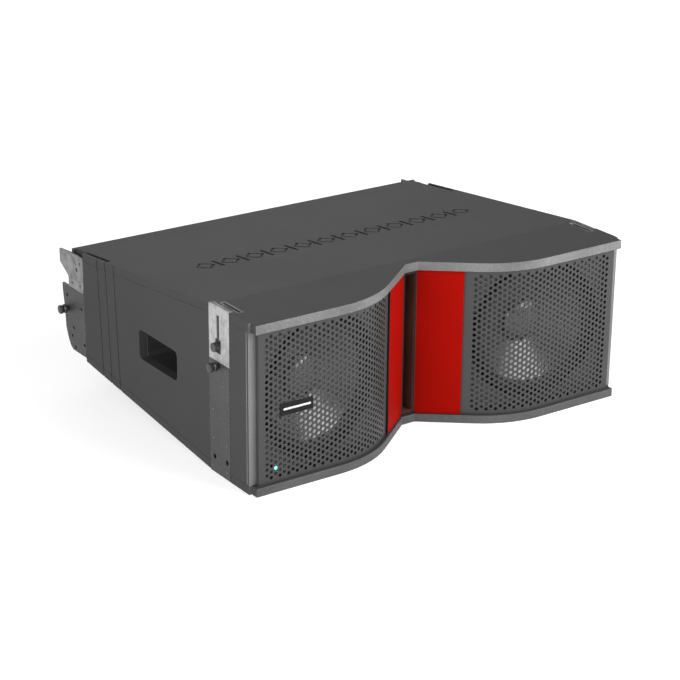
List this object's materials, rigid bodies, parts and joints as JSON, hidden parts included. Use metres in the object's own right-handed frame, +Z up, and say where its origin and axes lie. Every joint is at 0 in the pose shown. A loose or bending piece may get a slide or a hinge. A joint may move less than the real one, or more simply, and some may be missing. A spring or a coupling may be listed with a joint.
{
  "type": "line array speaker",
  "caption": "Wedge-sided line array speaker with twin woofers behind perforated grilles, a central red-flared horn slot, side handles and flying hardware.",
  "frame": {"origin": "on the level of the lower front lip, under the middle of the object's width and overall depth", "axes": "+X to the right seen from the front, +Y back from the grilles to the rear panel, +Z up"},
  "size_m": [0.786, 0.64, 0.29],
  "materials": {
    "black_painted_ply": "textured charcoal black polyurea paint over birch plywood, matte",
    "black_painted_steel": "the same black paint over folded steel, matte",
    "grey_paint": "dark grey powder coat on perforated and plain steel sheet, satin",
    "red_painted_wood": "deep red satin paint on the horn flares",
    "brown_plastic": "very dark brown moulded waveguide, matte",
    "black_plastic": "black moulded plastic, semi-matte",
    "bare_ply": "unpainted birch plywood, inside only",
    "bright_steel": "light zinc-plated steel rigging plates",
    "dark_steel": "dark blackened steel",
    "cast_metal": "dark painted die-cast basket",
    "aluminium": "extruded heat sink",
    "titanium": "thin formed dome",
    "copper": "copper winding on its former",
    "paper_pulp": "black pressed paper pulp cone and cap",
    "treated_cloth": "resin-treated woven spider",
    "rubber": "black half-roll surround",
    "board_green": "green circuit board",
    "status_light": "pale cyan indicator lens"
  },
  "bodies": {
    "cabinet": {"amp_circuit_board": "board_green", "amp_heat_sink": "aluminium", "amp_plate": "grey_paint", "badge_plate": "black_plastic", "baffle_left": "black_painted_ply", "baffle_right": "black_painted_ply", "bottom_panel": "black_painted_ply", "cross_brace": "bare_ply", "driver_motor": "dark_steel", "front_rail_left": "black_painted_steel", "front_rail_right": "black_painted_steel", "front_rig_plate_left": "bright_steel", "front_rig_plate_right": "bright_steel", "grille_left": "grey_paint", "grille_right": "grey_paint", "handle_cup_left": "black_plastic", "handle_cup_right": "black_plastic", "horn_flare_left": "red_painted_wood", "horn_flare_right": "red_painted_wood", "power_inlet": "black_plastic", "power_outlet": "black_plastic", "power_supply": "dark_steel", "rear_bracket_left": "black_painted_steel", "rear_bracket_right": "black_painted_steel", "rear_panel": "black_painted_ply", "rear_rig_plate_left": "bright_steel", "rear_rig_plate_right": "bright_steel", "side_panel_left": "black_painted_ply", "side_panel_right": "black_painted_ply", "signal_inlet": "black_plastic", "signal_outlet": "black_plastic", "status_light": "status_light", "top_panel": "black_painted_ply", "waveguide_body": "brown_plastic", "woofer_basket_left": "cast_metal", "woofer_basket_right": "cast_metal", "woofer_motor_left": "dark_steel", "woofer_motor_right": "dark_steel", "woofer_spider_left": "treated_cloth", "woofer_spider_right": "treated_cloth", "woofer_surround_left": "rubber", "woofer_surround_right": "rubber"},
    "diaphragm": {"driver_diaphragm": "titanium"},
    "cone_left": {"dust_cap_left": "paper_pulp", "voice_coil_left": "copper", "woofer_cone_left": "paper_pulp"},
    "cone_right": {"dust_cap_right": "paper_pulp", "voice_coil_right": "copper", "woofer_cone_right": "paper_pulp"},
    "front_link_left": {"front_link_left": "dark_steel"},
    "front_link_right": {"front_link_right": "dark_steel"},
    "front_pin_left": {"front_lock_pin_left": "black_plastic"},
    "front_pin_right": {"front_lock_pin_right": "black_plastic"},
    "level_knob": {"level_knob": "black_plastic"},
    "power_switch": {"power_switch": "black_plastic"},
    "rear_link_left": {"rear_link_left": "dark_steel"},
    "rear_link_right": {"rear_link_right": "dark_steel"},
    "rear_pin_left": {"rear_lock_pin_left": "black_plastic"},
    "rear_pin_right": {"rear_lock_pin_right": "black_plastic"},
    "inlet_latch": {"signal_inlet_latch": "bright_steel"}
  },
  "joints": [
    {"name": "cone_left_travel", "type": "slide", "parent": "cabinet", "child": "cone_left", "axis": [0.1736, -0.9848, 0], "range_m": [-0.006, 0.006], "stiffness_N_per_m": 2500, "deforming": ["woofer_surround_left", "woofer_spider_left"]},
    {"name": "cone_right_travel", "type": "slide", "parent": "cabinet", "child": "cone_right", "axis": [-0.1736, -0.9848, 0], "range_m": [-0.006, 0.006], "stiffness_N_per_m": 2500, "deforming": ["woofer_surround_right", "woofer_spider_right"]},
    {"name": "diaphragm_travel", "type": "slide", "parent": "cabinet", "child": "diaphragm", "axis": [0, -1, 0], "range_m": [-0.0004, 0.0004], "stiffness_N_per_m": 300},
    {"name": "front_link_left_lift", "type": "slide", "parent": "cabinet", "child": "front_link_left", "axis": [0, 0, 1], "range_m": [0, 0.045]},
    {"name": "front_pin_left_pull", "type": "slide", "parent": "cabinet", "child": "front_pin_left", "axis": [-1, 0, 0], "range_m": [0, 0.02]},
    {"name": "rear_link_left_lift", "type": "slide", "parent": "cabinet", "child": "rear_link_left", "axis": [0, 0, 1], "range_m": [0, 0.095]},
    {"name": "rear_pin_left_pull", "type": "slide", "parent": "cabinet", "child": "rear_pin_left", "axis": [-1, 0, 0], "range_m": [0, 0.052]},
    {"name": "front_link_right_lift", "type": "slide", "parent": "cabinet", "child": "front_link_right", "axis": [0, 0, 1], "range_m": [0, 0.045]},
    {"name": "front_pin_right_pull", "type": "slide", "parent": "cabinet", "child": "front_pin_right", "axis": [1, 0, 0], "range_m": [0, 0.02]},
    {"name": "rear_link_right_lift", "type": "slide", "parent": "cabinet", "child": "rear_link_right", "axis": [0, 0, 1], "range_m": [0, 0.095]},
    {"name": "rear_pin_right_pull", "type": "slide", "parent": "cabinet", "child": "rear_pin_right", "axis": [1, 0, 0], "range_m": [0, 0.052]},
    {"name": "level_knob_turn", "type": "hinge", "parent": "cabinet", "child": "level_knob", "pos_m": [0.105, 0.2833, 0.175], "axis": [0, 1, 0], "range_deg": [-150, 150]},
    {"name": "power_switch_rock", "type": "hinge", "parent": "cabinet", "child": "power_switch", "pos_m": [0.035, 0.2833, 0.175], "axis": [0, 0, 1], "range_deg": [-12, 0]},
    {"name": "inlet_latch_press", "type": "slide", "parent": "cabinet", "child": "inlet_latch", "axis": [0, 0, -1], "range_m": [0, 0.0015], "stiffness_N_per_m": 300}
  ]
}
